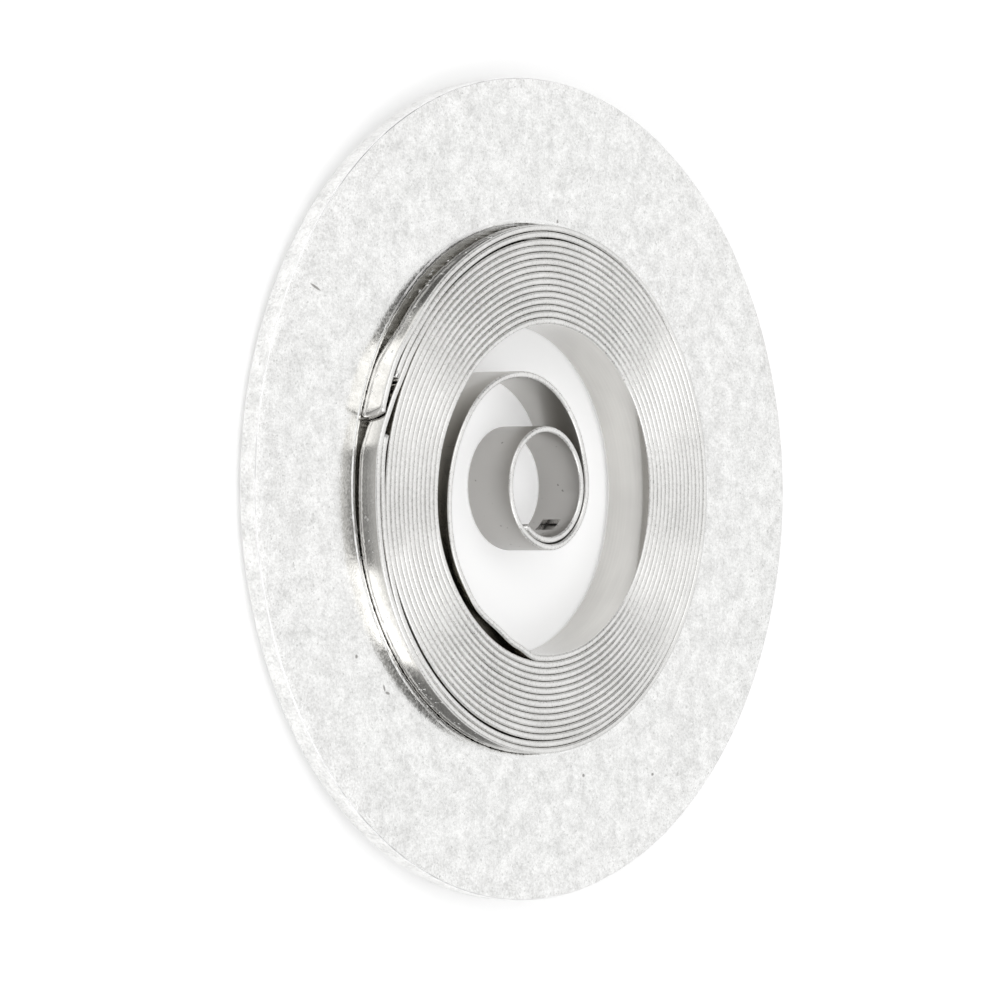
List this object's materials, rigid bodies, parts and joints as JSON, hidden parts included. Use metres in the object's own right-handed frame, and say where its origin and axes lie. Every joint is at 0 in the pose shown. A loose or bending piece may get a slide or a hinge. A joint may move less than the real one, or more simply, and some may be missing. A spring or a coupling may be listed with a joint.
{
  "type": "spiral power spring",
  "caption": "Flat spiral power spring with an eye and hook window at its inner end, wound up with a loose outer strip inside a thin flat retaining ring.",
  "frame": {"origin": "on the ring's axis, at the level of the strips' lower edges, which is what the part lies on", "axes": "+Z along the ring's axis, towards the side where the coil stands higher above the ring"},
  "size_m": [0.0164, 0.0162, 0.0011],
  "materials": {
    "spring_steel": "bright rolled strip, polished faces and fine drawn edges",
    "tumbled_metal": "pale tumbled matte with fine grain"
  },
  "bodies": {
    "root": {"mainspring": "spring_steel", "bridle": "spring_steel", "retaining_ring": "tumbled_metal"}
  },
  "joints": []
}
